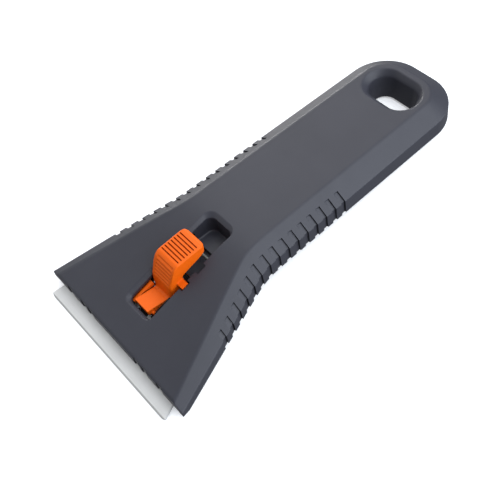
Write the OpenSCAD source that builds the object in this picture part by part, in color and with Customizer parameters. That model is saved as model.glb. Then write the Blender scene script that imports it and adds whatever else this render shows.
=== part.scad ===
// Ceramic hob scraper: a cranked moulded handle with a sliding ceramic blade,
// a latching thumb button in a long slot, grip pockets along both sides and a
// hang hole. Lengths are in millimetres and angles in degrees.
// Two local frames are used. The handle frame has x from the nose to the butt
// and z = 0 on the flat underside of the grip. The nose frame is tilted with the
// sloping top of the nose: u runs up the slope, v across, n out of the surface.

/* [Body outline] */

// length of the body from the nose to the butt
body_length = 137.4; // [130:0.1:145]
// half width at the butt, before the end is rounded
butt_half = 18.79; // [18:0.01:20]
// how much each side widens per unit of length towards the nose
side_taper = 0.0227; // [0.015:0.0001:0.03]
// extra widening per unit of length in front of the crank
side_flare = 0.288; // [0.26:0.001:0.3]
// place where the flare starts
flare_x = 45.4; // [44:0.1:47]
// softness of the start of the flare
flare_blend = 2; // [1:0.1:3]
// outer corner radius at the butt
butt_radius = 14.8; // [13:0.1:16]

/* [Body profile] */

// height of the flat top of the grip
top_height = 10.4; // [10:0.1:11.5]
// height of the lower edge of the side bevel at the crank
edge_height = 5.7; // [5.2:0.1:6.2]
// rise of that edge per unit of length
edge_rise = 0.0043; // [0:0.0001:0.006]
// place of the crank
crank_x = 44.2; // [43:0.1:46]
// softness of the crank
crank_blend = 3; // [2:0.1:3.5]
// fall of the top per unit of length in front of the crank
top_fall = 0.2856; // [0.27:0.0001:0.3]
// fall of the bevel's edge in front of the crank
edge_fall = 0.2228; // [0.21:0.0001:0.23]
// fall of the underside in front of the crank
belly_fall = 0.178; // [0.17:0.001:0.19]
// bevel width at the nose
bevel_nose = 3.66; // [3:0.01:4.2]
// bevel width at the crank
bevel_crank = 6.65; // [6:0.01:7]
// bevel width at the butt
bevel_butt = 5.95; // [5.5:0.01:6.5]
// small chamfer round the lower edge
foot_chamfer = 0.8; // [0.5:0.1:1]

/* [Shell] */

// thickness of the moulded walls
wall = 2; // [1.8:0.1:2.2]
// depth of the lip above the blade, square to the sloping top
lip_depth = 3.84; // [3.7:0.01:3.9]
// thickness of the lip from front to back
lip_thick = 3.1; // [2.5:0.1:3.3]
// width of the ledges that carry the blade's ends
ledge_width = 6; // [5.6:0.1:6.2]
// place where the ledges start
ledge_start = 8.3; // [8:0.1:9]
// place where the ledges end
ledge_end = 20.2; // [19:0.1:20.6]
// width of the small notches under the lip
lip_notch_width = 2.6; // [2:0.1:3]
// height of the small notches under the lip
lip_notch_height = 0.6; // [0.4:0.1:0.9]

/* [Grip pockets] */

// number of pockets on each side
pocket_count = 15; // [10:1:15]
// spacing of the pockets
pocket_pitch = 4.007; // [3.8:0.001:4.1]
// place of the rear end of the last pocket
pocket_last_x = 80.1; // [79:0.1:84]
// length of a pocket
pocket_length = 1.7; // [1.2:0.1:2.2]
// depth of a pocket, square to the surface
pocket_depth = 0.6; // [0.3:0.05:0.8]
// how far a pocket runs in over the bevel, at the crank
pocket_reach = 3.4; // [2.5:0.1:4]
// how far a pocket runs in over the bevel, at the nose
pocket_reach_nose = 2.6; // [2:0.1:3]

/* [Slot] */

// front end of the slot
slot_front = 10.5; // [10.2:0.1:10.8]
// rear end of the slot
slot_rear = 45.9; // [45.5:0.1:47]
// edge of the slot on the latch side
slot_latch_edge = 6.4; // [6.2:0.1:6.6]
// edge of the slot on the other side
slot_plain_edge = 5; // [5:0.1:5.3]
// radius of the front corners of the slot
slot_corner = 1.8; // [1.2:0.1:2.2]
// radius of the rear corners of the slot
slot_rear_corner = 2.8; // [1.8:0.1:3]
// height of the soft rim of the slot
rim_depth = 1; // [0.6:0.1:1.2]
// width of the soft rim at the front
rim_front = 0.85; // [0.5:0.05:1.2]
// width of the soft rim at the rear
rim_rear = 1.4; // [1:0.1:2.2]
// width of the soft rim along the plain side
rim_side = 1.3; // [0.8:0.1:1.6]
// front end of the floor behind the button
well_front = 38.6; // [38.5:0.1:39.5]
// height of the floor behind the button
well_floor = 2.5; // [2.2:0.1:2.8]

/* [Latch] */

// travel of the blade
travel = 7; // [6.5:0.1:7]
// middle of the forward notch along the slope
latch_u = 25.76; // [25.6:0.01:25.9]
// length of a notch
notch_length = 3.54; // [3.3:0.01:3.7]
// outer end of the notches across the slot
notch_end = 7.7; // [7.6:0.1:8]
// thickness left in the edge around the notches
latch_edge_thick = 1; // [0.9:0.05:1.05]
// length of the latch tongue
lug_length = 2.4; // [2.2:0.1:2.5]
// height of the latch tongue
lug_height = 1.1; // [1:0.05:1.15]

/* [Hang hole] */

// place of the hang hole
hang_x = 121.9; // [120:0.1:122.5]
// radius of the ends of the hole at the underside
hang_radius = 4.3; // [4:0.1:4.6]
// radius of the ends of the hole where its funnel starts
hang_mouth = 5.6; // [5:0.1:5.8]
// half of the straight length of the hole, across the body
hang_half = 3.6; // [3:0.1:3.8]
// radius of the soft funnel round the hole at the surface
funnel_radius = 7.85; // [7:0.05:8]
// depth of the funnel
funnel_depth = 2.5; // [2:0.1:2.8]
// wall of the tube round the hole, at its thinnest
hang_wall = 1.2; // [1:0.1:1.3]

/* [Blade] */

// front edge along the slope
blade_front = -6.5; // [-6.7:0.1:-6]
// rear edge along the slope
blade_rear = 13; // [12.5:0.1:13]
// half length of the blade at its widest
blade_half = 31.5; // [31.2:0.05:31.55]
// how much each end turns in per unit of length
blade_taper = 0.3; // [0.295:0.001:0.32]
// radius of the round corners beside the cutting edge
blade_corner = 2.3; // [2.1:0.1:2.4]
// run of the slanted ends behind the round corners
blade_slant_run = 1.4; // [1.3:0.05:1.5]
// thickness of the blade
blade_thick = 1; // [0.8:0.05:1]
// width of the ground bevel
grind_width = 0.7; // [0.5:0.1:1]
// thickness of the cutting edge
grind_edge = 0.3; // [0.2:0.05:0.4]
// half width of the notch in the rear edge
blade_notch_half = 2.2; // [2:0.1:3]
// depth of the notch in the rear edge
blade_notch_depth = 4.5; // [4:0.1:5]

/* [Carriage] */

// half width of the yoke over the blade
yoke_half = 21.5; // [21.2:0.1:22]
// front of the yoke along the slope
yoke_front = 4.2; // [4.1:0.1:4.6]
// rear of the yoke along the slope
yoke_rear = 17.6; // [17.2:0.1:18]
// front of the middle part along the slope
base_front = 11.4; // [11.3:0.1:11.5]
// rear of the middle part along the slope
base_rear = 28.8; // [28.4:0.1:28.8]
// half width of the middle part
base_half = 10; // [9.6:0.1:10]
// thickness of the clamp plate
clamp_thick = 0.8; // [0.6:0.1:0.8]
// radius of the locating pegs
peg_radius = 2; // [1.5:0.1:2.2]
// distance of the pegs from the yoke's ends
peg_inset = 2.5; // [2.3:0.1:3.5]
// place of the pegs along the slope
peg_u = 7.2; // [7:0.1:7.6]
// distance of the clamp screws from the yoke's ends
clamp_screw_inset = 4.5; // [3.5:0.1:6.5]
// place of the clamp screws along the slope
clamp_screw_u = 15.2; // [15.1:0.1:15.4]

/* [Thumb button] */

// half width of the ramp
ramp_half = 3.5; // [3.2:0.05:3.6]
// half width of the leg
leg_half = 4.7; // [4.4:0.1:4.75]
// half width of the pad
pad_half = 5; // [4.8:0.05:5]
// corner radius of the pad seen from above
pad_corner = 1.6; // [0.8:0.1:2]
// number of ribs on the leg
rib_count = 8; // [6:1:9]
// half length of the ribs
rib_half = 3.67; // [3:0.01:4]
// radius of a rib
rib_radius = 0.28; // [0.2:0.01:0.3]
// number of grooves in the pad
groove_count = 7; // [5:1:8]
// half length of the grooves
groove_half = 4.1; // [3.5:0.1:4.3]
// radius of a groove
groove_radius = 0.26; // [0.15:0.01:0.3]
// radius of the pivot pins
trunnion_radius = 0.6; // [0.5:0.05:0.6]
// place of the pivot along the slope
trunnion_u = 13.2; // [13.1:0.05:13.3]
// place of the pivot below the sloping top
trunnion_n = -3.1; // [-3.12:0.01:-3.05]

/* [Cover and screws] */

// thickness of the cover
cover_thick = 1.5; // [1.2:0.1:1.5]
// front edge of the cover
cover_front = 25.2; // [25:0.1:26]
// radius of a screw head
head_radius = 2.3; // [2:0.1:2.4]
// height of a cover screw's head
head_height = 0.9; // [0.7:0.1:1]
// radius of a screw shank
shank_radius = 1.1; // [0.9:0.05:1.2]
// length of a cover screw's shank
shank_length = 4.6; // [4:0.1:4.8]

/* [Fits] */

// gap between the sliding carriage and the shell
slide_gap = 0.15; // [0.1:0.01:0.2]
// radial gap round pins, pegs and shanks
pin_gap = 0.05; // [0.03:0.01:0.08]
// gap round the cover
cover_gap = 0.15; // [0.1:0.01:0.25]
// gap between the ramp and the fork beside it
fork_gap = 0.25; // [0.2:0.05:0.3]

/* [Hidden] */

// overrun of every cut
cut = 1;

// facets of round features, and arc steps of loft corners
$fn = 40;
corner_steps = 9;
slot_corner_steps = 4;
slot_side_steps = 16;

// length in front of and behind the crank over which its curve is drawn
crank_before = 12;
crank_after = 16;
crank_steps = 14;
nose_steps = 3;
grip_steps = 3;
blend_reach = 5;
full_ring = 8;

// guide rails beside the carriage
rail_start = 25.4;
rail_end = 37.6;
rail_thick = 1.6;
rail_depth = 5.6;

// stop pin, in the rails
stop_radius = 0.6;
stop_n = -4.6;
stop_play = 0.05;

// tub behind the button
tub_wall = 1;

// bosses, cover pads and screw places
boss_radius = 3;
pad_rise = 1;
counterbore_depth = 1.2;
screw_front_x = 32;
screw_front_y = 15;
screw_mid_x = 62;
screw_rear_x = 104;
recess_width = 0.6;
recess_depth = 0.5;
recess_half = 1.3;

// carriage details
yoke_inner = 7.4;
fork_leg_start = 19.6;
fork_leg_end = 27.2;
leg_gap = 0.25;
cheek_low_start = 14.4;
cheek_low_half = 6.8;
cheek_low_n = -3;
crossbar_half = 6;
crossbar_depth = 5.9;
clamp_front = 4.8;
clamp_window_front = 13.4;
clamp_window_half = 4.4;
clamp_boss_radius = 1.9;
clamp_head_height = 0.6;
clamp_head_radius = 1.9;
clamp_shank_top = 2.8;
bore_half = 5.5;
trunnion_half = 5.35;
lug_relief = 0.6;
lug_side_gap = 0.3;

// leaf spring below the button's foot
leaf_thick = 0.25;
leaf_width = 6;
leaf_play = 0.05;
leaf_start = 21.2;
leaf_end = 28.3;

// lip notches, as distances from the middle
lip_notch_v = [12.4, 16.3, 23.9];
lip_notch_back = 0.3;

// outline of the ramp seen from the side, in the handle frame
ramp_front_x = 12;
ramp_front_z = 0.42;
ramp_back_x = 19;
ramp_back_z = -0.66;
ramp_thick = 1.7;
foot_x = 20.3;
foot_top_z = -0.5;
foot_bottom_z = -1.75;
heel_x = 25;
heel_z = -0.3;

// outline of the leg and the pad seen from the side, in the handle frame
shin_low_x = 20.6;
shin_low_z = 2;
shin_mid_x = 20.9;
shin_mid_z = 4.8;
shin_bend_x = 22.4;
shin_bend_z = 6.7;
shin_top_x = 23.6;
shin_top_z = 10;
brow_x = 24.4;
brow_z = 11.4;
pad_front_x = 25.5;
pad_front_z = 11.95;
pad_back_x = 33.9;
pad_back_z = 12.45;
pad_tail_x = 35.5;
pad_tail_z = 12.25;
pad_end_x = 36;
pad_end_high_z = 11.8;
pad_end_low_z = 10.4;
pad_under_x = 35;
pad_under_z = 9.15;
pad_slab_thick = 2.1;
calf_x = 26.9;
calf_z = 6.2;
calf_low_x = 26.1;
calf_low_z = 4.9;
ankle_x = 25.3;
ankle_z = 2;
groove_first_x = 26.9;
groove_last_x = 33.6;

// slope of the nose top, and the place of the nose frame
nose_slope = atan(top_fall);
nose_z = top_height - top_fall * crank_x;
carriage_top = -wall - slide_gap;
tube_radius = hang_mouth + hang_wall;
blade_top = -lip_depth - slide_gap - pin_gap;
blade_bottom = blade_top - blade_thick;
clamp_bottom = blade_bottom - clamp_thick;
peg_v = yoke_half - peg_inset;
clamp_screw_v = yoke_half - clamp_screw_inset;
stop_u = base_rear + travel + stop_radius + stop_play;
grind_slope = (blade_thick - grind_edge) / grind_width;
leaf_slope = atan((heel_z - foot_bottom_z) / (heel_x - foot_x));

// how the scraper lies on a table, on the blade's edge and the butt
tip_x = blade_front * cos(nose_slope) - blade_bottom * sin(nose_slope);
tip_z = nose_z + blade_front * sin(nose_slope) + blade_bottom * cos(nose_slope);
tip_high_n = blade_bottom + grind_edge;
tip_high_x = blade_front * cos(nose_slope) - tip_high_n * sin(nose_slope);
tip_high_z = nose_z + blade_front * sin(nose_slope) + tip_high_n * cos(nose_slope);
heel_stand_x = body_length - foot_chamfer;
lie = atan2(-tip_z, heel_stand_x - tip_x);
butt_edge_z = edge_height + edge_rise * body_length;
front_reach = tip_high_x * cos(lie) + tip_high_z * sin(lie);
rear_reach = body_length * cos(lie) + butt_edge_z * sin(lie);
rest_x = -(front_reach + rear_reach) / 2;
rest_z = heel_stand_x * sin(lie);

// colours
shell_colour = [0.07, 0.072, 0.08];
orange = [1, 0.36, 0.05];
white = [0.86, 0.86, 0.85];
steel = [0.7, 0.71, 0.73];

// soft start of a straight slope
function soft(t, k) =
    t < -blend_reach * k ? 0 : k * ln(1 + exp(t / k));

function half_at(x) =
    butt_half + side_taper * (body_length - x) + side_flare * soft(flare_x - x, flare_blend);

function bottom_at(x) = -belly_fall * soft(crank_x - x, crank_blend);

function edge_at(x) =
    edge_height + edge_rise * x - edge_fall * soft(crank_x - x, crank_blend);

function top_at(x) = top_height - top_fall * soft(crank_x - x, crank_blend);

function bevel_at(x) =
    x < crank_x
        ? bevel_nose + (bevel_crank - bevel_nose) * x / crank_x
        : bevel_crank + (bevel_butt - bevel_crank) * (x - crank_x) / (body_length - crank_x);

function bevel_angle(x) = atan((top_at(x) - edge_at(x)) / bevel_at(x));

// what a wall of even thickness takes off beside a fold of angle a
function fold_share(a) = (1 - cos(a)) / sin(a);
function drop_share(a) = (1 - sin(a)) / cos(a);

corner_x = body_length - butt_radius;
corner_y = half_at(corner_x) - butt_radius;

// places of the straight cross-sections from a start to the rounded butt
function stations(start) =
    let (c0 = crank_x - crank_before, c1 = crank_x + crank_after)
    concat(
        start < c0 ? [for (i = [0 : nose_steps - 1]) start + (c0 - start) * i / nose_steps] : [],
        [for (i = [0 : crank_steps]) c0 + (c1 - c0) * i / crank_steps],
        [for (i = [1 : grip_steps]) c1 + (corner_x - c1) * i / grip_steps]
    );

// a cross-section of the body, from a point of the outer edge and one of the top
function body_ring(xo, yo, xf, yf, xi, yi, low, foot, edge, top) = [
    [xf, -yf, low],
    [xo, -yo, low + foot],
    [xo, -yo, edge],
    [xi, -yi, top],
    [xi, yi, top],
    [xo, yo, edge],
    [xo, yo, low + foot],
    [xf, yf, low]
];

// a straight cross-section, drawn in by an even wall and lowered below by drop
function straight_ring(x, inset, drop, foot) =
    let (
        h = half_at(x) - inset,
        a = bevel_angle(x),
        i = half_at(x) - bevel_at(x) - inset * fold_share(a)
    )
    body_ring(x, h, x, h - foot, x, i, bottom_at(x) - drop, foot,
        edge_at(x) - inset * drop_share(a), top_at(x) - inset);

// a cross-section in the rounded butt, at an angle that falls from 90 to zero
function corner_ring(t, inset, drop, foot) =
    let (
        r = butt_radius - inset,
        a = bevel_angle(body_length),
        i = butt_radius - bevel_butt - inset * fold_share(a),
        x = corner_x + r * cos(t)
    )
    body_ring(x, corner_y + r * sin(t), corner_x + (r - foot) * cos(t), corner_y + (r - foot) * sin(t),
        corner_x + i * cos(t), corner_y + i * sin(t), bottom_at(x) - drop, foot,
        edge_at(x) - inset * drop_share(a), top_at(x) - inset);

function body_rings(start, inset, drop, foot) =
    concat(
        [for (x = stations(start)) straight_ring(x, inset, drop, foot)],
        [for (i = [1 : corner_steps]) corner_ring(90 - 90 * i / corner_steps, inset, drop, foot)]
    );

// a slab ring of the cover
function slab_ring(x, y, low, high) = [[x, -y, low], [x, -y, high], [x, y, high], [x, y, low]];

function cover_rings(inset) =
    concat(
        [for (x = cover_stations())
            slab_ring(x, half_at(x) - inset, bottom_at(x), bottom_at(x) + cover_thick)],
        [for (i = [1 : corner_steps])
            let (t = 90 - 90 * i / corner_steps, r = butt_radius - inset)
            slab_ring(corner_x + r * cos(t), corner_y + r * sin(t), 0, cover_thick)]
    );

function cover_stations() =
    concat([cover_front], [for (x = stations(0)) if (x > cover_front + cut) x]);

// faces between two neighbouring rings of m points; flat strips stay whole
function strip(a, b, c, d, j, m) =
    (j % 2 == 1) || m < full_ring
        ? [[a, b, c, d]]
        : (j < m / 2 ? [[a, b, c], [a, c, d]] : [[a, b, d], [b, c, d]]);

module loft(rings) {
    m = len(rings[0]);
    n = len(rings);
    polyhedron(
        points = [for (r = rings) each r],
        faces = concat(
            [[for (j = [m - 1 : -1 : 0]) j]],
            [for (i = [0 : n - 2]) for (j = [0 : m - 1])
                let (k = (j + 1) % m)
                each strip(i * m + j, i * m + k, (i + 1) * m + k, (i + 1) * m + j, j, m)],
            [for (j = [0 : m / 2 - 2])
                [(n - 1) * m + j, (n - 1) * m + j + 1, (n - 1) * m + m - 2 - j, (n - 1) * m + m - 1 - j]]
        )
    );
}

// frames
module in_rest() {
    translate([rest_x, 0, rest_z])
        rotate([0, lie, 0])
            children();
}

module in_nose() {
    translate([0, 0, nose_z])
        rotate([0, -nose_slope, 0])
            children();
}

// a block given by its two corners
module block(lo, hi) {
    translate(lo)
        cube(hi - lo);
}

// a side profile drawn in x and z, given a width across the body
module across(half) {
    rotate([90, 0, 0])
        linear_extrude(height = 2 * half, center = true)
            children();
}

// a round bar across the body
module bar(x, z, r, half) {
    translate([x, 0, z])
        rotate([90, 0, 0])
            cylinder(h = 2 * half, r = r, center = true);
}

module both_sides() {
    children();
    mirror([0, 1, 0])
        children();
}

// body solids
module body_solid(start, inset, drop, foot) {
    loft(body_rings(start, inset, drop, foot));
}

// how far a pocket runs in over the bevel
function reach_at(x) =
    x > crank_x ? pocket_reach : pocket_reach_nose + (pocket_reach - pocket_reach_nose) * x / crank_x;

// cuts for the grip pockets, down to the core of the body
module pocket_cuts() {
    for (i = [0 : pocket_count - 1])
        both_sides() {
            x = pocket_last_x - i * pocket_pitch;
            block(
                [x - pocket_length, half_at(x) - reach_at(x), -2 * top_height],
                [x, half_at(0) + cut, 2 * top_height]
            );
        }
}

// the outside of the body, with a core that gives the pockets their floors
module body_outside() {
    difference() {
        body_solid(0, 0, 0, foot_chamfer);
        pocket_cuts();
    }
    body_solid(cut, pocket_depth, -foot_chamfer / 2, foot_chamfer);
}

// outline of the slot, with the rim grown by share w
function slot_outline(w) =
    let (
        x0 = slot_front - rim_front * w,
        x1 = slot_rear + rim_rear * w,
        y0 = -slot_latch_edge,
        y1 = slot_plain_edge + rim_side * w,
        r = slot_corner,
        b = slot_rear_corner,
        run = x1 - x0 - r - b
    )
    concat(
        [for (i = [0 : slot_corner_steps])
            let (t = 180 + 90 * i / slot_corner_steps) [x0 + r + r * cos(t), y0 + r + r * sin(t)]],
        [for (i = [1 : slot_side_steps - 1]) [x0 + r + run * i / slot_side_steps, y0]],
        [for (i = [0 : slot_corner_steps])
            let (t = 270 + 90 * i / slot_corner_steps) [x1 - b + b * cos(t), y0 + b + b * sin(t)]],
        [for (i = [0 : slot_corner_steps])
            let (t = 90 * i / slot_corner_steps) [x1 - b + b * cos(t), y1 - b + b * sin(t)]],
        [for (i = [1 : slot_side_steps - 1]) [x1 - b - run * i / slot_side_steps, y1]],
        [for (i = [0 : slot_corner_steps])
            let (t = 90 + 90 * i / slot_corner_steps) [x0 + r + r * cos(t), y1 - r + r * sin(t)]]
    );

// share by which the rim's slope is drawn on above the surface
rim_over_share = 0.5;

module slot_cutter() {
    inner = slot_outline(0);
    outer = slot_outline(1 + rim_over_share);
    m = len(inner);
    low = top_at(slot_front) - wall - cut;
    high = top_height + 2 * cut;
    polyhedron(
        points = concat(
            [for (p = outer) [p[0], p[1], high]],
            [for (p = outer) [p[0], p[1], top_at(p[0]) + rim_over_share * rim_depth]],
            [for (p = inner) [p[0], p[1], top_at(p[0]) - rim_depth]],
            [for (p = inner) [p[0], p[1], low]]
        ),
        faces = concat(
            [[for (j = [m - 1 : -1 : 0]) j]],
            [[for (j = [0 : m - 1]) 3 * m + j]],
            [for (i = [0 : 2]) for (j = [0 : m - 1])
                let (k = (j + 1) % m)
                each [
                    [i * m + j, i * m + k, (i + 1) * m + k],
                    [i * m + j, (i + 1) * m + k, (i + 1) * m + j]
                ]]
        )
    );
}

// end radius of the hang hole and of its funnel at height z
function hang_at(z) = hang_radius + (hang_mouth - hang_radius) * z / (top_height - funnel_depth);
function funnel_at(z) = funnel_radius + (funnel_radius - hang_mouth) * (z - top_height) / funnel_depth;

// a long round-ended plug with end radius r0 at z0 and r1 at z1
module stadium(r0, r1, z0, z1) {
    translate([hang_x, 0, z0]) {
        both_sides()
            translate([0, hang_half, 0])
                cylinder(h = z1 - z0, r1 = r0, r2 = r1);
        across(hang_half)
            polygon([
                [-r0, 0],
                [r0, 0],
                [r1, z1 - z0],
                [-r1, z1 - z0]
            ]);
    }
}

module hang_hole() {
    stadium(hang_at(-cut), hang_mouth, -cut, top_height - funnel_depth);
    stadium(hang_mouth, funnel_at(top_height + cut), top_height - funnel_depth, top_height + cut);
}

// places of the cover screws
screw_places = [
    [screw_front_x, screw_front_y],
    [screw_front_x, -screw_front_y],
    [screw_mid_x, 0],
    [screw_rear_x, 0]
];
function pad_top(p) = bottom_at(p[0]) + cover_thick + pad_rise;
function head_seat(p) = bottom_at(p[0]) + counterbore_depth;

module rails() {
    in_nose()
        both_sides()
            block(
                [rail_start, base_half + slide_gap, -rail_depth],
                [rail_end, base_half + slide_gap + rail_thick, -wall / 2]
            );
}

module tub() {
    intersection() {
        body_solid(0, wall / 2, 0, foot_chamfer);
        difference() {
            block(
                [well_front, -slot_latch_edge - tub_wall, well_floor - tub_wall],
                [slot_rear + tub_wall, slot_plain_edge + tub_wall, top_height]
            );
            translate([0, 0, well_floor])
                linear_extrude(height = top_height)
                    polygon(slot_outline(0));
        }
    }
}

module ledges() {
    intersection() {
        body_solid(0, wall / 2, 0, foot_chamfer);
        difference() {
            in_nose()
                block(
                    [0, -half_at(0), blade_bottom - slide_gap - top_height],
                    [ledge_end + cut, half_at(0), blade_bottom - slide_gap]
                );
            translate([0, 0, -top_height - cut])
                linear_extrude(height = 2 * top_height)
                    polygon([
                        [-cut, -half_at(-cut) + ledge_width],
                        [-cut, half_at(-cut) - ledge_width],
                        [ledge_end + cut, half_at(ledge_end + cut) - ledge_width],
                        [ledge_end + cut, -half_at(ledge_end + cut) + ledge_width]
                    ]);
            block([-top_height, -half_at(0), -2 * top_height], [ledge_start, half_at(0), top_height]);
            block([ledge_end, -half_at(0), -2 * top_height], [crank_x, half_at(0), top_height]);
        }
    }
}

module shell_walls() {
    difference() {
        body_outside();
        body_solid(lip_thick, wall, 2 * cut, cut);
        intersection() {
            body_solid(-cut, wall, 2 * cut, cut);
            in_nose()
                block(
                    [-top_height, -half_at(0), -2 * top_height],
                    [lip_thick + 2 * cut, half_at(0), -lip_depth]
                );
        }
        slot_cutter();
    }
}

module top_shell() {
    color(shell_colour)
        difference() {
            union() {
                shell_walls();
                tub();
                ledges();
                rails();
                stadium(tube_radius, tube_radius, 0, top_height - wall / 2);
                for (p = screw_places)
                    translate([p[0], p[1], pad_top(p)])
                        cylinder(h = top_at(p[0]) - wall / 2 - pad_top(p), r = boss_radius);
            }
            for (p = screw_places)
                translate([p[0], p[1], pad_top(p) - cut])
                    cylinder(
                        h = shank_length - pad_top(p) + head_seat(p) + 2 * cut,
                        r = shank_radius + pin_gap
                    );
            hang_hole();
            in_nose() {
                for (s = [0, 1])
                    block(
                        [latch_u - notch_length / 2 + s * travel, -notch_end, -wall],
                        [latch_u + notch_length / 2 + s * travel, -slot_latch_edge + cut, cut]
                    );
                block(
                    [latch_u - notch_length, -notch_end - lug_side_gap, -wall - cut],
                    [latch_u + notch_length + travel, -slot_latch_edge + cut, -latch_edge_thick]
                );
                for (v = lip_notch_v)
                    both_sides()
                        block(
                            [-lip_depth, v - lip_notch_width / 2, -lip_depth - cut],
                            [-lip_notch_back, v + lip_notch_width / 2, -lip_depth + lip_notch_height]
                        );
                bar(stop_u, stop_n, stop_radius + pin_gap, base_half + slide_gap + rail_thick / 2);
            }
        }
}

module cover_pad(p) {
    translate([p[0], p[1], head_seat(p)])
        cylinder(h = pad_top(p) - head_seat(p), r = boss_radius + cover_gap);
}

module bottom_cover() {
    color(shell_colour)
        difference() {
            union() {
                loft(cover_rings(wall + cover_gap));
                for (p = screw_places)
                    cover_pad(p);
            }
            for (p = screw_places) {
                translate([p[0], p[1], bottom_at(p[0]) - cut])
                    cylinder(h = counterbore_depth + cut, r = head_radius + 2 * pin_gap);
                translate([p[0], p[1], bottom_at(p[0]) - cut])
                    cylinder(h = cover_thick + pad_rise + 2 * cut, r = shank_radius + pin_gap);
            }
            stadium(tube_radius + cover_gap, tube_radius + cover_gap, -cut, cover_thick + cut);
        }
}

module screw(head_r, head_h, shank_h) {
    difference() {
        union() {
            translate([0, 0, -head_h])
                cylinder(h = head_h, r = head_r);
            cylinder(h = shank_h, r = shank_radius);
        }
        for (t = [0, 90])
            rotate([0, 0, t])
                block(
                    [-recess_half, -recess_width / 2, -head_h - cut],
                    [recess_half, recess_width / 2, recess_depth - head_h]
                );
    }
}

module cover_screws() {
    color(steel)
        for (p = screw_places)
            translate([p[0], p[1], head_seat(p)])
                screw(head_radius, head_height, shank_length);
}

// turn of the round corners, up to the slanted ends
corner_turn = 135;

// where the slanted end starts and ends on one side
slant_u = blade_front + blade_corner - blade_corner * cos(corner_turn);
slant_v = blade_half - blade_corner + blade_corner * sin(corner_turn);
taper_u = slant_u + blade_slant_run;
taper_v = slant_v - blade_slant_run;

// outline of the blade on one side, from the cutting edge to the rear notch
function blade_side() =
    let (r = blade_corner)
    concat(
        [for (i = [0 : corner_steps])
            let (t = corner_turn * i / corner_steps)
            [blade_front + r - r * cos(t), blade_half - r + r * sin(t)]],
        [
            [taper_u, taper_v],
            [blade_rear, taper_v - blade_taper * (blade_rear - taper_u)],
            [blade_rear, blade_notch_half],
            [blade_rear - blade_notch_depth, blade_notch_half]
        ]
    );

module ceramic_blade() {
    side = blade_side();
    k = len(side);
    color(white)
        in_nose()
            difference() {
                translate([0, 0, blade_bottom])
                    linear_extrude(height = blade_thick)
                        polygon(concat(
                            side,
                            [for (i = [k - 1 : -1 : 0]) [side[i][0], -side[i][1]]]
                        ));
                across(half_at(0))
                    polygon([
                        [blade_front - cut, blade_bottom + grind_edge - cut * grind_slope],
                        [blade_front, blade_bottom + grind_edge],
                        [blade_front + grind_width, blade_top],
                        [blade_front + grind_width, blade_top + cut],
                        [blade_front - cut, blade_top + cut]
                    ]);
                both_sides()
                    translate([peg_u, peg_v, blade_bottom - cut])
                        cylinder(h = blade_thick + 2 * cut, r = peg_radius + pin_gap);
            }
}

module base_plan() {
    polygon([
        [base_front, ramp_half + fork_gap],
        [base_front, yoke_inner],
        [yoke_front, yoke_inner],
        [yoke_front, yoke_half],
        [yoke_rear, yoke_half],
        [yoke_rear, base_half],
        [base_rear, base_half],
        [base_rear, -base_half],
        [yoke_rear, -base_half],
        [yoke_rear, -yoke_half],
        [yoke_front, -yoke_half],
        [yoke_front, -yoke_inner],
        [base_front, -yoke_inner],
        [base_front, -ramp_half - fork_gap],
        [fork_leg_start, -ramp_half - fork_gap],
        [fork_leg_start, -leg_half - leg_gap],
        [fork_leg_end, -leg_half - leg_gap],
        [fork_leg_end, leg_half + leg_gap],
        [fork_leg_start, leg_half + leg_gap],
        [fork_leg_start, ramp_half + fork_gap]
    ]);
}

module leaf(grow) {
    translate([heel_x, 0, heel_z])
        rotate([0, -leaf_slope, 0])
            block(
                [
                    (leaf_start - heel_x) / cos(leaf_slope),
                    -leaf_width / 2 - grow,
                    -leaf_thick - leaf_play - grow
                ],
                [(leaf_end - heel_x) / cos(leaf_slope) + grow, leaf_width / 2 + grow, -leaf_play + grow]
            );
}

module slider_base() {
    color(orange)
        difference() {
            in_nose()
                difference() {
                    union() {
                        translate([0, 0, blade_top])
                            linear_extrude(height = carriage_top - blade_top)
                                base_plan();
                        block(
                            [fork_leg_end, -crossbar_half, -crossbar_depth],
                            [base_rear, crossbar_half, carriage_top]
                        );
                        both_sides() {
                            translate([peg_u, peg_v, blade_bottom])
                                cylinder(h = blade_thick + cut, r = peg_radius);
                            translate([clamp_screw_u, clamp_screw_v, blade_bottom])
                                cylinder(h = blade_thick + cut, r = clamp_boss_radius);
                        }
                    }
                    both_sides()
                        translate([clamp_screw_u, clamp_screw_v, blade_bottom - cut])
                            cylinder(
                                h = -clamp_shank_top - blade_bottom + cut + pin_gap,
                                r = shank_radius + pin_gap
                            );
                    bar(trunnion_u, trunnion_n, trunnion_radius + pin_gap, bore_half);
                    block(
                        [cheek_low_start, -cheek_low_half, cheek_low_n],
                        [fork_leg_start + leg_gap, cheek_low_half, cut]
                    );
                    block(
                        [latch_u - notch_length / 2, -notch_end - lug_side_gap, carriage_top - lug_relief],
                        [latch_u + notch_length / 2 + lug_side_gap, -leg_half, cut]
                    );
                }
            leaf(leaf_play);
        }
}

module blade_clamp() {
    color(steel)
        in_nose()
            difference() {
                block([clamp_front, -yoke_half, clamp_bottom], [yoke_rear, yoke_half, blade_bottom]);
                block(
                    [clamp_window_front, -clamp_window_half, clamp_bottom - cut],
                    [yoke_rear + cut, clamp_window_half, blade_bottom + cut]
                );
                both_sides()
                    translate([clamp_screw_u, clamp_screw_v, clamp_bottom - cut])
                        cylinder(h = clamp_thick + 2 * cut, r = shank_radius + pin_gap);
            }
}

module clamp_screws() {
    color(steel)
        in_nose()
            both_sides()
                translate([clamp_screw_u, clamp_screw_v, clamp_bottom])
                    screw(clamp_head_radius, clamp_head_height, -clamp_shank_top - clamp_bottom);
}

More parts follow.
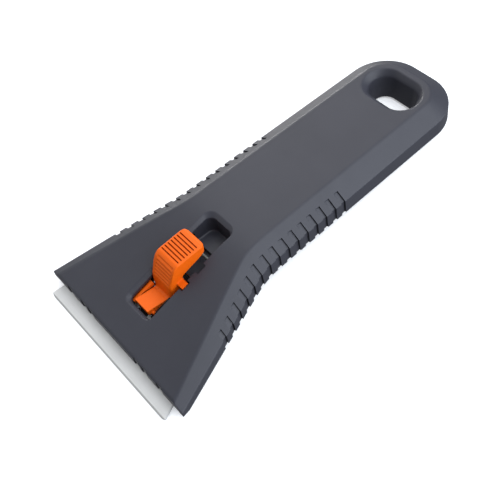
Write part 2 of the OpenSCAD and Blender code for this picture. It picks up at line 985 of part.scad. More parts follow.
module leg_profile() {
    polygon([
        [foot_x, foot_bottom_z],
        [foot_x, foot_top_z],
        [shin_low_x, shin_low_z],
        [shin_mid_x, shin_mid_z],
        [shin_bend_x, shin_bend_z],
        [shin_top_x, shin_top_z],
        [brow_x, brow_z],
        [pad_front_x, pad_front_z],
        [pad_back_x, pad_back_z],
        [pad_under_x, pad_under_z],
        [calf_x, calf_z],
        [calf_low_x, calf_low_z],
        [ankle_x, ankle_z],
        [heel_x, heel_z]
    ]);
}

module pad_profile() {
    polygon([
        [shin_top_x, pad_front_z - pad_slab_thick],
        [brow_x, brow_z],
        [pad_front_x, pad_front_z],
        [pad_back_x, pad_back_z],
        [pad_tail_x, pad_tail_z],
        [pad_end_x, pad_end_high_z],
        [pad_end_x, pad_end_low_z],
        [pad_under_x, pad_under_z]
    ]);
}

// the pad's outline from above, with its corners rounded
module pad_plan() {
    r = pad_corner;
    polygon([
        for (c = [[pad_end_x - r, pad_half - r, 0], [shin_mid_x + r, pad_half - r, 90],
                  [shin_mid_x + r, r - pad_half, 180], [pad_end_x - r, r - pad_half, 270]])
            for (i = [0 : slot_corner_steps])
                let (t = c[2] + 90 * i / slot_corner_steps)
                [c[0] + r * cos(t), c[1] + r * sin(t)]
    ]);
}

module thumb_button() {
    color(orange)
        difference() {
            union() {
                across(leg_half)
                    leg_profile();
                intersection() {
                    across(pad_half)
                        pad_profile();
                    linear_extrude(height = 2 * top_height)
                        pad_plan();
                }
                across(ramp_half)
                    polygon([
                        [ramp_front_x, ramp_front_z],
                        [ramp_back_x, ramp_back_z],
                        [foot_x + cut, foot_top_z],
                        [foot_x + cut, foot_bottom_z + cut * tan(leaf_slope)],
                        [foot_x, foot_bottom_z],
                        [ramp_back_x, ramp_back_z - ramp_thick],
                        [ramp_front_x + cut, ramp_front_z - ramp_thick - cut],
                        [ramp_front_x, ramp_front_z - ramp_thick]
                    ]);
                in_nose()
                    bar(trunnion_u, trunnion_n, trunnion_radius, trunnion_half);
                for (i = [0 : rib_count - 1])
                    let (s = i / (rib_count - 1))
                    bar(rib_x(s), rib_z(s), rib_radius, rib_half);
            }
            for (i = [0 : groove_count - 1])
                let (x = groove_first_x + (groove_last_x - groove_first_x) * i / (groove_count - 1))
                bar(x, pad_top_at(x), groove_radius, groove_half);
        }
}

// height of the pad's top at x
function pad_top_at(x) =
    pad_front_z + (pad_back_z - pad_front_z) * (x - pad_front_x) / (pad_back_x - pad_front_x);

// place of a rib along the bent front of the leg, by the share of its height
bend_share = (shin_bend_z - shin_mid_z) / (shin_top_z - shin_mid_z);
function rib_z(s) = shin_mid_z + (shin_top_z - shin_mid_z) * s;
function rib_x(s) =
    s < bend_share
        ? shin_mid_x + (shin_bend_x - shin_mid_x) * s / bend_share
        : shin_bend_x + (shin_top_x - shin_bend_x) * (s - bend_share) / (1 - bend_share);

module lock_lug() {
    color(orange)
        in_nose()
            block(
                [latch_u - lug_length / 2, -notch_end + lug_side_gap, -lug_height],
                [latch_u + lug_length / 2, -leg_half, 0]
            );
}

module button_spring() {
    color(steel)
        leaf(0);
}

module stop_pin() {
    color(steel)
        in_nose()
            bar(stop_u, stop_n, stop_radius, base_half + slide_gap + rail_thick / 2 - stop_play);
}

in_rest() {
    top_shell();
    bottom_cover();
    cover_screws();
    ceramic_blade();
    slider_base();
    blade_clamp();
    clamp_screws();
    thumb_button();
    lock_lug();
    button_spring();
    stop_pin();
}
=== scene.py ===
"""Looks of the ceramic hob scraper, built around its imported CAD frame.

The moulded pieces are drawn as implicit solids with rounded edges and turned
into fine meshes that keep their sharp lines. A shape function gives about how
far out of its solid a point lies, less than zero inside. Its lengths are in
millimetres, in two frames. In the handle's frame x runs from the nose to the
butt, y across, and z = 0 is the grip's flat underside. In the nose's frame u
runs up the sloping top, v across and n out of it. ay is |y|, for what is the
same on both sides. A box is written as its lowest and its highest corner.
"""
import functools
import math

import bpy
import numpy as np
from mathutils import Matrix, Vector


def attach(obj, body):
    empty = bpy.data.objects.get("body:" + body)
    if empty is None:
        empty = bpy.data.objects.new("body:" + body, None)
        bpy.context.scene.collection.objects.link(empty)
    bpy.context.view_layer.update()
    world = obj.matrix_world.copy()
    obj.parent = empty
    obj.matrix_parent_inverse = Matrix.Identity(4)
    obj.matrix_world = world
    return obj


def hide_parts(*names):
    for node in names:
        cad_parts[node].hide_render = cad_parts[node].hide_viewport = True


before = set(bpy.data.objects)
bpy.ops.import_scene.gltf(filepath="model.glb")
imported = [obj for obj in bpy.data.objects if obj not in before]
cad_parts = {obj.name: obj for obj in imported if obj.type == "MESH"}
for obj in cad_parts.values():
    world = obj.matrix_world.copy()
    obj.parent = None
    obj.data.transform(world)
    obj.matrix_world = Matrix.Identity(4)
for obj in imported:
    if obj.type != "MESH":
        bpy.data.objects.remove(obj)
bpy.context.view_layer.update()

MM = 0.001

# Sizes that several pieces share, the same as in the CAD source
LENGTH = 137.4
CRANK = 44.2
CRANK_BLEND = 3
TOP = 10.4
TOP_FALL = 0.2856
EDGE_HEIGHT = 5.7
EDGE_RISE = 0.0043
FOOT_CHAMFER = 0.8
HOLE_X = 121.9
HOLE_HALF = 3.6
BLADE_TOP = -4.04
BLADE_BOTTOM = -5.04
BLADE_FRONT = -6.5
BLADE_LAND = 0.3
TRAVEL = 7.0
PEG_U, PEG_V = 7.2, 19

SLOPE = math.atan(TOP_FALL)
COS_S, SIN_S = math.cos(SLOPE), math.sin(SLOPE)
NOSE_Z = TOP - TOP_FALL * CRANK


def from_nose(u, n):
    """x and z of a point given in the nose's frame."""
    return u * COS_S - n * SIN_S, NOSE_Z + u * SIN_S + n * COS_S


def to_nose(x, z):
    """u and n of points given in the handle's frame."""
    dz = z - NOSE_Z
    return x * COS_S + dz * SIN_S, -x * SIN_S + dz * COS_S


# The handle lies on the blade's edge and on the lower rim of its butt
tip_x, tip_z = from_nose(BLADE_FRONT, BLADE_BOTTOM)
high_x, high_z = from_nose(BLADE_FRONT, BLADE_BOTTOM + BLADE_LAND)
heel_x = LENGTH - FOOT_CHAMFER
LIE = math.atan2(-tip_z, heel_x - tip_x)
COS_L, SIN_L = math.cos(LIE), math.sin(LIE)
front_x = high_x * COS_L + high_z * SIN_L
rear_x = LENGTH * COS_L + (EDGE_HEIGHT + EDGE_RISE * LENGTH) * SIN_L
REST_X = -(front_x + rear_x) / 2
REST_Z = heel_x * SIN_L


def to_rest(p):
    """Points of the handle's frame, in mm, as they lie at rest, in metres."""
    p = np.asarray(p, float)
    out = np.empty_like(p)
    out[..., 0] = REST_X + p[..., 0] * COS_L + p[..., 2] * SIN_L
    out[..., 1] = p[..., 1]
    out[..., 2] = REST_Z - p[..., 0] * SIN_L + p[..., 2] * COS_L
    return out * MM


# Tools for implicit solids
def soft(t, k):
    """About zero for t below zero and t above it, with a smooth bend of size k."""
    return k * np.logaddexp(0, t / k)


def step_of(t, k):
    """A smooth step, the slope of soft(t, k)."""
    return 1 / (1 + np.exp(np.clip(-t / k, -30, 30)))


def share_of(t, start, over):
    """How much of the way from start on t has gone, from 0 to 1."""
    return np.clip((t - start) / over, 0, 1)


def every(*parts):
    """What lies in all the solids, with sharp edges."""
    return functools.reduce(np.maximum, parts)


def carve(a, b):
    """Solid a without b, with sharp edges."""
    return np.maximum(a, -b)


def meet(a, b, r):
    """What lies in both solids, with a convex edge of radius r."""
    u = np.maximum(a + r, 0)
    v = np.maximum(b + r, 0)
    return np.minimum(np.maximum(a, b), -r) + np.hypot(u, v)


def join(a, b, r):
    """Either solid, with a hollow fillet of radius r."""
    return -meet(-a, -b, r)


def cut(a, b, r):
    """Solid a without b, with an edge of radius r."""
    return meet(a, -b, r)


def block(x, y, z, lo, hi):
    """A box with its corners at lo and hi."""
    return every(lo[0] - x, x - hi[0], lo[1] - y, y - hi[1], lo[2] - z, z - hi[2])


def round_rect(x, y, x0, x1, y0, y1, r):
    """Signed distance to a rectangle with round corners."""
    qx = np.abs(x - (x0 + x1) / 2) - (x1 - x0) / 2 + r
    qy = np.abs(y - (y0 + y1) / 2) - (y1 - y0) / 2 + r
    return np.hypot(np.maximum(qx, 0), np.maximum(qy, 0)) + np.minimum(np.maximum(qx, qy), 0) - r


def outline(px, pz, points):
    """Signed distance to a closed outline."""
    pts = np.asarray(points, float)
    best = np.full(px.shape, np.inf)
    inside = np.ones(px.shape)
    for a, b in zip(pts, np.roll(pts, -1, axis=0)):
        ex, ez = b - a
        wx, wz = px - a[0], pz - a[1]
        h = np.clip((wx * ex + wz * ez) / (ex * ex + ez * ez), 0, 1)
        best = np.minimum(best, (wx - ex * h) ** 2 + (wz - ez * h) ** 2)
        above_a = pz >= a[1]
        below_b = pz < b[1]
        left = ex * wz > ez * wx
        flip = (above_a & below_b & left) | (~above_a & ~below_b & ~left)
        inside = np.where(flip, -inside, inside)
    return inside * np.sqrt(best)


CURVE_STEPS = 5


def curve_through(points):
    """A smooth run of points through the given ones."""
    p = [np.array(q, float) for q in points]
    p = [2 * p[0] - p[1]] + p + [2 * p[-1] - p[-2]]
    out = []
    for i in range(1, len(p) - 2):
        for s in range(CURVE_STEPS):
            t = s / CURVE_STEPS
            out.append(0.5 * (2 * p[i] + (p[i + 1] - p[i - 1]) * t
                              + (2 * p[i - 1] - 5 * p[i] + 4 * p[i + 1] - p[i + 2]) * t * t
                              + (3 * p[i] - p[i - 1] - 3 * p[i + 1] + p[i + 2]) * t ** 3))
    out.append(p[-2])
    return out


# Meshes from implicit solids
BLOCK = 4
CHUNK = 60000
SLACK = 1.7
ROOT_STEPS = 3
ROOT_EDGE = 0.05
PROBE = 0.002
PULL = 0.06
SHARP = 38.0


def in_chunks(shape, p):
    """shape at the points p, a few at a time."""
    return np.concatenate([shape(*p[i:i + CHUNK].T) for i in range(0, len(p), CHUNK)])


def grid(counts):
    """The index triples of a grid."""
    axes = [np.arange(n) for n in counts]
    return np.stack(np.meshgrid(*axes, indexing="ij"), -1).reshape(-1, 3)


def sampled(shape, lo, hi, step):
    """shape on a grid, filled in only in the blocks that the surface may cross.

    SLACK allows for values that grow faster than the distance does.
    """
    blocks = [int(math.ceil((b - a) / step / BLOCK)) + 1 for a, b in zip(lo, hi)]
    corners = grid(blocks)
    value = in_chunks(shape, lo + (corners * BLOCK + (BLOCK - 1) / 2) * step)
    near = corners[np.abs(value) < SLACK * math.sqrt(3) * BLOCK / 2 * step]
    field = np.where(value < 0, -1.0, 1.0).astype(np.float32).reshape(blocks)
    for axis in range(3):
        field = np.repeat(field, BLOCK, axis)
    bx, by, bz = blocks
    by_block = field.reshape(bx, BLOCK, by, BLOCK, bz, BLOCK).transpose(0, 2, 4, 1, 3, 5)
    at = (near[:, None] * BLOCK + grid([BLOCK] * 3)[None]).reshape(-1, 3)
    filled = in_chunks(shape, lo + at * step)
    by_block[tuple(near.T)] = filled.reshape(-1, BLOCK, BLOCK, BLOCK)
    return field


def crossed_edges(field):
    """Start, direction, start inside or not, and four cells of each grid edge that is crossed."""
    inside = field < 0
    found = []
    for axis in range(3):
        u, v = [(1, 2), (2, 0), (0, 1)][axis]
        here = [slice(None)] * 3
        there = [slice(None)] * 3
        here[axis] = slice(0, -1)
        there[axis] = slice(1, None)
        first, second = inside[tuple(here)], inside[tuple(there)]
        e = np.argwhere(first != second)
        last_u, last_v = field.shape[u] - 1, field.shape[v] - 1
        e = e[(e[:, u] > 0) & (e[:, v] > 0) & (e[:, u] < last_u) & (e[:, v] < last_v)]
        ring = []
        for du, dv in ((-1, -1), (0, -1), (0, 0), (-1, 0)):
            cell = e.copy()
            cell[:, u] += du
            cell[:, v] += dv
            ring.append(cell)
        found.append((e, np.full(len(e), axis), first[tuple(e.T)], np.stack(ring, 1)))
    start, axis_of, from_inside, cells = [np.concatenate(column) for column in zip(*found)]
    return start, np.eye(3)[axis_of], from_inside, cells


def crossings(shape, lo, step, field, start, along):
    """Where the surface crosses the edges, in grid steps, and its normals there."""
    f0 = field[tuple(start.T)].astype(float)
    f1 = field[tuple((start + along.astype(int)).T)].astype(float)
    t0, t1 = np.zeros(len(f0)), np.ones(len(f0))
    for _ in range(ROOT_STEPS):
        t = (t0 * f1 - t1 * f0) / (f1 - f0)
        t = np.clip(t, t0 + ROOT_EDGE * (t1 - t0), t1 - ROOT_EDGE * (t1 - t0))
        f = in_chunks(shape, lo + (start + along * t[:, None]) * step)
        same = (f < 0) == (f0 < 0)
        t0, f0 = np.where(same, t, t0), np.where(same, f, f0)
        t1, f1 = np.where(same, t1, t), np.where(same, f1, f)
    t = (t0 * f1 - t1 * f0) / (f1 - f0)
    hit = start + along * t[:, None]
    p = lo + hit * step
    f = in_chunks(shape, p)
    g = np.stack([in_chunks(shape, p + PROBE * e) - f for e in np.eye(3)], 1)
    g /= np.maximum(np.linalg.norm(g, axis=1), 1e-12)[:, None]
    return hit, g


def net(shape, lo, hi, step):
    """Vertices and quads of the surface of shape, with its sharp lines kept.

    Each cell's vertex is the point nearest to the planes that touch the surface
    where it crosses the cell's edges.
    """
    lo = np.array(lo, float)
    field = sampled(shape, lo, hi, step)
    size = field.shape
    start, along, from_inside, cells = crossed_edges(field)
    hit, g = crossings(shape, lo, step, field, start, along)

    flat = cells.reshape(-1, 3)
    key = (flat[:, 0] * size[1] + flat[:, 1]) * size[2] + flat[:, 2]
    unique, where = np.unique(key, return_inverse=True)
    where = where.ravel()
    count = len(unique)
    local = (hit[:, None] - cells).reshape(-1, 3)
    g4 = np.repeat(g, 4, axis=0)

    def total(w):
        return np.bincount(where, w, count)

    hits = np.bincount(where, minlength=count)
    mass = np.stack([total(local[:, i]) for i in range(3)], 1) / hits[:, None]
    off = ((local - mass[where]) * g4).sum(1)
    a = np.empty((count, 3, 3))
    for i in range(3):
        for j in range(i, 3):
            a[:, i, j] = a[:, j, i] = total(g4[:, i] * g4[:, j])
    b = np.stack([total(g4[:, i] * off) for i in range(3)], 1)
    a += PULL * np.eye(3)
    move = np.linalg.solve(a, b[..., None])[..., 0]
    corner = np.stack([unique // (size[1] * size[2]), unique // size[2] % size[1], unique % size[2]], 1)
    verts = lo + (corner + np.clip(mass + move, 0.0, 1.0)) * step
    quads = where.reshape(-1, 4)
    quads = np.where(from_inside[:, None], quads, quads[:, ::-1])
    return verts, quads


def mesh_piece(name, verts, quads):
    """A smooth object, with sharp lines, from points of the handle's frame, none below the table."""
    me = bpy.data.meshes.new(name)
    p = to_rest(verts).astype(np.float32)
    p[:, 2] = np.maximum(p[:, 2], 0)
    me.vertices.add(len(p))
    me.vertices.foreach_set("co", p.ravel())
    me.loops.add(len(quads) * 4)
    me.loops.foreach_set("vertex_index", quads.astype(np.int32).ravel())
    me.polygons.add(len(quads))
    me.polygons.foreach_set("loop_start", np.arange(0, len(quads) * 4, 4, dtype=np.int32))
    me.update(calc_edges=True)
    me.validate()
    me.shade_smooth()
    me.set_sharp_from_angle(angle=math.radians(SHARP))
    ob = bpy.data.objects.new(name, me)
    bpy.context.scene.collection.objects.link(ob)
    return ob


def skin(name, shape, box, step):
    """The piece that shape describes, which lies in the box."""
    return mesh_piece(name, *net(shape, *box, step))


# Handle: outer form
BUTT_HALF = 18.79
BUTT_R = 14.8
SIDE_TAPER = 0.0227
SIDE_FLARE = 0.288
FLARE_X = 45.4
FLARE_BLEND = 2
NOSE_HALF = 34.97
BELLY_FALL = 0.178
EDGE_FALL = 0.2228
BEVEL_NOSE, BEVEL_GAIN = 3.66, 2.99
BEVEL_CRANK, BEVEL_LOSS = 6.65, 0.7


def half_at(x):
    return np.minimum(BUTT_HALF + SIDE_TAPER * (LENGTH - x) + SIDE_FLARE * soft(FLARE_X - x, FLARE_BLEND),
                      NOSE_HALF)


def bottom_at(x):
    return -BELLY_FALL * soft(CRANK - x, CRANK_BLEND)


def edge_at(x):
    """Height of the edge between the side wall and the bevel."""
    return EDGE_HEIGHT + EDGE_RISE * x - EDGE_FALL * soft(CRANK - x, CRANK_BLEND)


def top_at(x):
    return TOP - TOP_FALL * soft(CRANK - x, CRANK_BLEND)


def bevel_at(x):
    """Width of the bevel, seen from above."""
    return np.where(x < CRANK, BEVEL_NOSE + BEVEL_GAIN * x / CRANK,
                    BEVEL_CRANK - BEVEL_LOSS * (x - CRANK) / (LENGTH - CRANK))


CORNER_X = LENGTH - BUTT_R
CORNER_Y = float(half_at(CORNER_X)) - BUTT_R


def side_distance(x, ay):
    """Distance out of the side wall, wrapped round the butt."""
    tail = np.hypot(np.maximum(x - CORNER_X, 0), np.maximum(ay - CORNER_Y, 0)) - BUTT_R
    slope = SIDE_TAPER + SIDE_FLARE * step_of(FLARE_X - x, FLARE_BLEND)
    return np.where(x > CORNER_X, tail, (ay - half_at(x)) / np.sqrt(1 + slope * slope))


def walls(x, y, z):
    """How far out of the body's side, bevel and top a point is."""
    xc = np.minimum(x, LENGTH)
    s = side_distance(x, np.abs(y))
    zt, ze = top_at(xc), edge_at(xc)
    t = (zt - ze) / bevel_at(xc)
    bevel = (z - ze + s * t) / np.sqrt(1 + t * t)
    fall = TOP_FALL * step_of(CRANK - xc, CRANK_BLEND)
    return s, bevel, (z - zt) / np.sqrt(1 + fall * fall)


# Handle: grip pockets, which reach further inboard up to the crank and a little less behind it
POCKETS = 15
POCKET_PITCH = 4.007
POCKET_LAST = 79.7
POCKET_LENGTH = 1.7
POCKET_DEPTH = 0.6
RISE_INBOARD = 0.25
RISE_FORWARD = 0.75
REACH_NOSE, REACH_GAIN = 0.6, 0.0716
REACH_X, REACH_MOST, REACH_LOSS = 43.3, 3.7, 0.05
REACH_GRIP = 3.4


def pockets(x, side, skin_distance):
    """The pockets: a steep rear wall, and a floor that rises inboard towards the front."""
    i = np.clip(np.round((POCKET_LAST - POCKET_LENGTH / 2 - x) / POCKET_PITCH), 0, POCKETS - 1)
    rear = POCKET_LAST - POCKET_PITCH * i
    behind = np.maximum(REACH_GRIP, REACH_MOST - REACH_LOSS * (x - REACH_X))
    reach = np.minimum(REACH_NOSE + REACH_GAIN * x, behind)
    inboard = np.clip(-side / reach, 0, 1)
    forward = np.clip((rear - x) / POCKET_LENGTH, 0, 1)
    depth = POCKET_DEPTH * (1 - RISE_INBOARD * inboard) * (1 - RISE_FORWARD * inboard * forward)
    return every(x - rear, rear - POCKET_LENGTH - x, -(side + reach), -(skin_distance + depth))


# Handle: the long slot, whose soft rim widens it near the top on three sides
SLOT_X = (10.5, 45.9)
SLOT_Y = (-6.4, 5.0)
SLOT_MIDDLE = 28
SLOT_FRONT_R, SLOT_REAR_R = 1.8, 2.8
RIM_HEIGHT, RIM_MOST, RIM_POWER = 1.0, 1.5, 1.25
RIM_FRONT, RIM_REAR, RIM_FAR, RIM_R = 0.85, 1.4, 1.3, 0.35
UPRIGHT_X, UPRIGHT_OVER = 24, 12


def slot_distance(x, y, z):
    """Signed distance to the slot, square to the nose in front and upright at the rear."""
    w = np.clip(z - top_at(x) + RIM_HEIGHT, 0, RIM_MOST) ** RIM_POWER
    r = np.where(x < SLOT_MIDDLE, SLOT_FRONT_R, SLOT_REAR_R) + RIM_R * w
    u = to_nose(x, z)[0]
    upright = share_of(x, UPRIGHT_X, UPRIGHT_OVER)
    return round_rect(u * COS_S * (1 - upright) + x * upright, y, SLOT_X[0] - RIM_FRONT * w,
                      SLOT_X[1] + RIM_REAR * w, SLOT_Y[0], SLOT_Y[1] + RIM_FAR * w, r)


# Handle: the hang hole, which narrows downwards and has a funnel on top
HOLE_R, HOLE_GAIN, HOLE_LOW = 4.3, 1.3, -1
FUNNEL_Z, FUNNEL_HEIGHT, FUNNEL_MOST = 7.9, 2.5, 1.4
FUNNEL_GAIN, FUNNEL_POWER, FUNNEL_SHIFT = 2.0, 1.3, 0.3
FUNNEL_SCALE = 0.75


def hole_distance(x, y, z):
    """About the signed distance to the hang hole."""
    w = np.clip((z - FUNNEL_Z) / FUNNEL_HEIGHT, 0, FUNNEL_MOST)
    r = HOLE_R + HOLE_GAIN * np.clip(z, HOLE_LOW, FUNNEL_Z) / FUNNEL_Z + FUNNEL_GAIN * w ** FUNNEL_POWER
    d = np.hypot(x - HOLE_X + FUNNEL_SHIFT * w, np.maximum(np.abs(y) - HOLE_HALF, 0)) - r
    return d * np.where(w > 0, FUNNEL_SCALE, 1.0)


# Handle: outer edges, and the slants above and under the front of the nose
SIDE_EDGE_R, TOP_EDGE_R, LOW_EDGE_R = 0.25, 0.35, 0.85
UNDER_Z, UNDER_FALL, UNDER_COS = -6.7, 0.292, 0.96
LIP_SLANT = math.radians(22)
LIP_U, LIP_X, LIP_R = 0.5, -0.25, 0.1

# Handle: walls, the lip above the blade, its nicks and the ledges under the blade's ends
WALL = 2.0
LIP_THICK = 3.1
WINDOW_N, WINDOW_X = -3.84, 6
INNER_R = 0.15
NICKS_V, NICK_HALF = (12.4, 16.3, 23.9), 1.3
NICK_N, NICK_RISE = -4.24, 1.0
NICK_U, NICK_X = (-4, -0.3), 0.05
LEDGE_SIDE, LEDGE_X, LEDGE_R = (-6, -1), (8.3, 20.2), 0.2
LEDGE_N, LEDGE_ABOVE = -5.19, 0.5

# Handle: the tub behind the button, guide rails, the hole's tube and the latch's notches
TUB = ((38.6, -7.4, 1.5), (46.9, 6.0, 11))
TUB_FLOOR, TUB_TOP = 2.5, -1
RAIL = ((25.4, 10.15, -5.6), (37.6, 11.75, -1))
TUBE_R, TUBE_Z = 6.8, 9
THROUGH = -30.0
SLOT_FLOOR_R, SLOT_EDGE_R, HOLE_EDGE_R = 0.6, 0.12, 0.3
LATCH_NOTCH = ((23.99, -7.7, -2.2), (27.53, -5.4, 1))
THIN_EDGE = ((22.2, -8.0, -3), (36.3, -5.4, -1))


def outer_form(x, z, u, n, side, bevel, top):
    """The body as if it were solid, with its pockets and the slants at its front."""
    d = meet(meet(side, bevel, SIDE_EDGE_R), top, TOP_EDGE_R)
    d = carve(d, pockets(x, side, np.maximum(side, bevel)))
    under = np.maximum(bottom_at(x) - z, (UNDER_Z - UNDER_FALL * x - z) * UNDER_COS)
    d = meet(d, under, LOW_EDGE_R)
    lip = n * math.cos(LIP_SLANT) - (u - LIP_U) * math.sin(LIP_SLANT)
    return meet(meet(d, lip, LIP_R), LIP_X - x, LIP_R)


def hollowed(d, x, ay, u, n, side, bevel, top):
    """d with its inside, the blade's window and the nicks in the lip taken out."""
    hollow = np.maximum(every(side, bevel, top) + WALL, LIP_THICK - x)
    window = every(side + WALL, n - WINDOW_N, x - WINDOW_X)
    d = cut(d, np.minimum(hollow, window), INNER_R)
    nick = functools.reduce(np.minimum, [np.abs(ay - v) for v in NICKS_V]) - NICK_HALF
    d = carve(d, every(nick, np.abs(n - NICK_N) - NICK_RISE, u - NICK_U[1], NICK_U[0] - u))
    return carve(d, np.maximum(nick, x - NICK_X))


def with_inner_parts(d, x, y, z, u, n, side, top):
    """d with ledges under the blade's ends, a tub behind the button, guide rails and the hole's tube."""
    ay = np.abs(y)
    ledge = every(LEDGE_SIDE[0] - side, side - LEDGE_SIDE[1], n - LEDGE_N, bottom_at(x) + LEDGE_ABOVE - z,
                  LEDGE_X[0] - x, x - LEDGE_X[1])
    d = join(d, ledge, LEDGE_R)
    tub = np.maximum(block(x, y, z, *TUB), top - TUB_TOP)
    rail = block(u, ay, n, *RAIL)
    tube = every(np.hypot(x - HOLE_X, np.maximum(ay - HOLE_HALF, 0)) - TUBE_R, -z, z - TUBE_Z)
    return np.minimum(np.minimum(d, tub), np.minimum(rail, tube))


def shell(x, y, z):
    """The handle's upper moulding."""
    u, n = to_nose(x, z)
    side, bevel, top = walls(x, y, z)
    d = outer_form(x, z, u, n, side, bevel, top)
    d = hollowed(d, x, np.abs(y), u, n, side, bevel, top)
    d = with_inner_parts(d, x, y, z, u, n, side, top)
    floor_z = np.where(x < TUB[0][0], THROUGH, TUB_FLOOR)
    d = cut(d, meet(slot_distance(x, y, z), floor_z - z, SLOT_FLOOR_R), SLOT_EDGE_R)
    for s in (0, TRAVEL):
        lo, hi = [(corner[0] + s, *corner[1:]) for corner in LATCH_NOTCH]
        d = carve(d, block(u, y, n, lo, hi))
    d = carve(d, block(u, y, n, *THIN_EDGE))
    return cut(d, hole_distance(x, y, z), HOLE_EDGE_R)


# Thumb button: the side view of leg and pad, the front of the leg first, in x and z
SHIN = curve_through([(20.3, -0.5), (20.4, 1.0), (20.6, 2.6), (20.95, 4.6), (21.8, 6.6), (23.0, 9.1),
                      (24.0, 10.75), (25.4, 11.8), (26.9, 12.0)])
TAIL = [(33.9, 12.42), (35.4, 12.42), (36.0, 12.28), (36.35, 11.95), (36.5, 11.4), (36.4, 10.7),
        (36.1, 10.0)]
UNDERSIDE = curve_through([(35.5, 9.4), (33.4, 8.45), (31.0, 7.6), (28.6, 6.75), (27.2, 6.2), (26.4, 5.5),
                           (26.05, 4.5), (25.7, 3.0), (25.3, 1.2), (25.0, -0.3)])
SIDE_VIEW = [(20.3, -1.75)] + SHIN + TAIL + UNDERSIDE

# Thumb button: widths and edges of leg, pad and ramp
LEG_HALF, PAD_GAIN, PAD_Z, PAD_OVER = 4.7, 0.3, 6.0, 2.5
BUTTON_EDGE_R = 0.5
NEAR_EDGE_Z, NEAR_EDGE_R, NEAR_EDGE_X = (2.0, 7.0), (1.2, 0.5), 23.5
BUTTON_PLAN = (0.0, 36.5, -5.0, 5.0, 2.2)
PLAN_EDGE_R = 0.3
RAMP = [(12.0, 0.42), (19.0, -0.66), (20.9, -0.78), (21.3, -1.45), (20.3, -1.75), (19.0, -2.36),
        (13.2, -2.4), (12.0, -1.5)]
RAMP_HALF, RAMP_EDGE_R, RAMP_FILLET = 3.35, 0.2, 0.9

# Thumb button: ribs across the leg, pivot pins, latch tongue and grooves across the pad
RIBS = 6
RIB_PITCH = 1.15
RIB_FOOT = 4.45
RIB_DEPTH = 0.2
RIB_Y, RIB_HALF, RIB_FADE, RIB_BACK = -0.3, 3.95, 0.5, 25.2
PIVOT_U, PIVOT_N, PIVOT_R = 13.2, -3.1, 0.6
PIVOT_Y, PIVOT_HALF, PIVOT_EDGE_R, PIVOT_FILLET = 0.5, 4.6, 0.15, 0.12
TONGUE = ((24.56, -7.4, -1.1), (26.96, -4.0, -0.02))
TONGUE_FILLET = 0.25
GROOVES = 7
GROOVE_X, GROOVE_PITCH = 26.6, 1.208
GROOVE_Y, GROOVE_REACH, GROOVE_END_R = 0.12, 4.28, 0.3
GROOVE_HALF, GROOVE_DEPTH, GROOVE_EDGE_R = 0.22, 0.85, 0.05
CROWN_X, CROWN_Z, CROWN_GAIN, CROWN_OVER = 25.5, 11.97, 0.45, 8.4


def furrows(x, y, z):
    """Depth of the furrows between the fine ribs across the front of the leg."""
    wave = np.clip((z - RIB_FOOT) / RIB_PITCH, 0, RIBS)
    fade = np.clip((RIB_HALF - np.abs(y - RIB_Y)) / RIB_FADE, 0, 1) * (x < RIB_BACK)
    return RIB_DEPTH * (0.5 - 0.5 * np.cos(2 * math.pi * wave)) * fade


def button(x, y, z):
    """Leg and pad, ramp, pivot pins, latch tongue and the grooves of the pad."""
    ay = np.abs(y)
    u, n = to_nose(x, z)
    half = LEG_HALF + PAD_GAIN * share_of(z, PAD_Z, PAD_OVER)
    near_r = np.interp(z, NEAR_EDGE_Z, NEAR_EDGE_R)
    r = np.where((y < 0) & (x < NEAR_EDGE_X), near_r, BUTTON_EDGE_R)
    d = meet(outline(x, z, SIDE_VIEW) + furrows(x, y, z), ay - half, r)
    d = meet(d, round_rect(x, y, *BUTTON_PLAN), PLAN_EDGE_R)
    d = join(d, meet(outline(x, z, RAMP), ay - RAMP_HALF, RAMP_EDGE_R), RAMP_FILLET)
    pin = np.hypot(u - PIVOT_U, n - PIVOT_N) - PIVOT_R
    d = join(d, meet(pin, np.abs(y - PIVOT_Y) - PIVOT_HALF, PIVOT_EDGE_R), PIVOT_FILLET)
    d = join(d, block(u, y, n, *TONGUE), TONGUE_FILLET)
    for i in range(GROOVES):
        gx = GROOVE_X + GROOVE_PITCH * i
        gz = CROWN_Z + CROWN_GAIN * (gx - CROWN_X) / CROWN_OVER
        groove = np.maximum(np.abs(x - gx) - GROOVE_HALF, gz - GROOVE_DEPTH - z)
        d = cut(d, meet(groove, np.abs(y - GROOVE_Y) - GROOVE_REACH, GROOVE_END_R), GROOVE_EDGE_R)
    return d


# Blade: rounded front corners, a slanted cut behind them and ends that taper to the rear
BLADE_HALF = 31.5
BLADE_BACK = 13
BLADE_EDGE_R = 0.08
CORNER_R = 2.3
CORNER_CUT = 1.4
SLANT_U = BLADE_FRONT + CORNER_R * (1 + math.sqrt(0.5)) + CORNER_CUT
SLANT_V = BLADE_HALF - CORNER_R * (1 - math.sqrt(0.5)) - CORNER_CUT
TAPER = 0.3
REAR_NOTCH_HALF, REAR_NOTCH_U, REAR_NOTCH_R = 2.2, 8.5, 0.2
BLADE_HOLE_R = 2.05


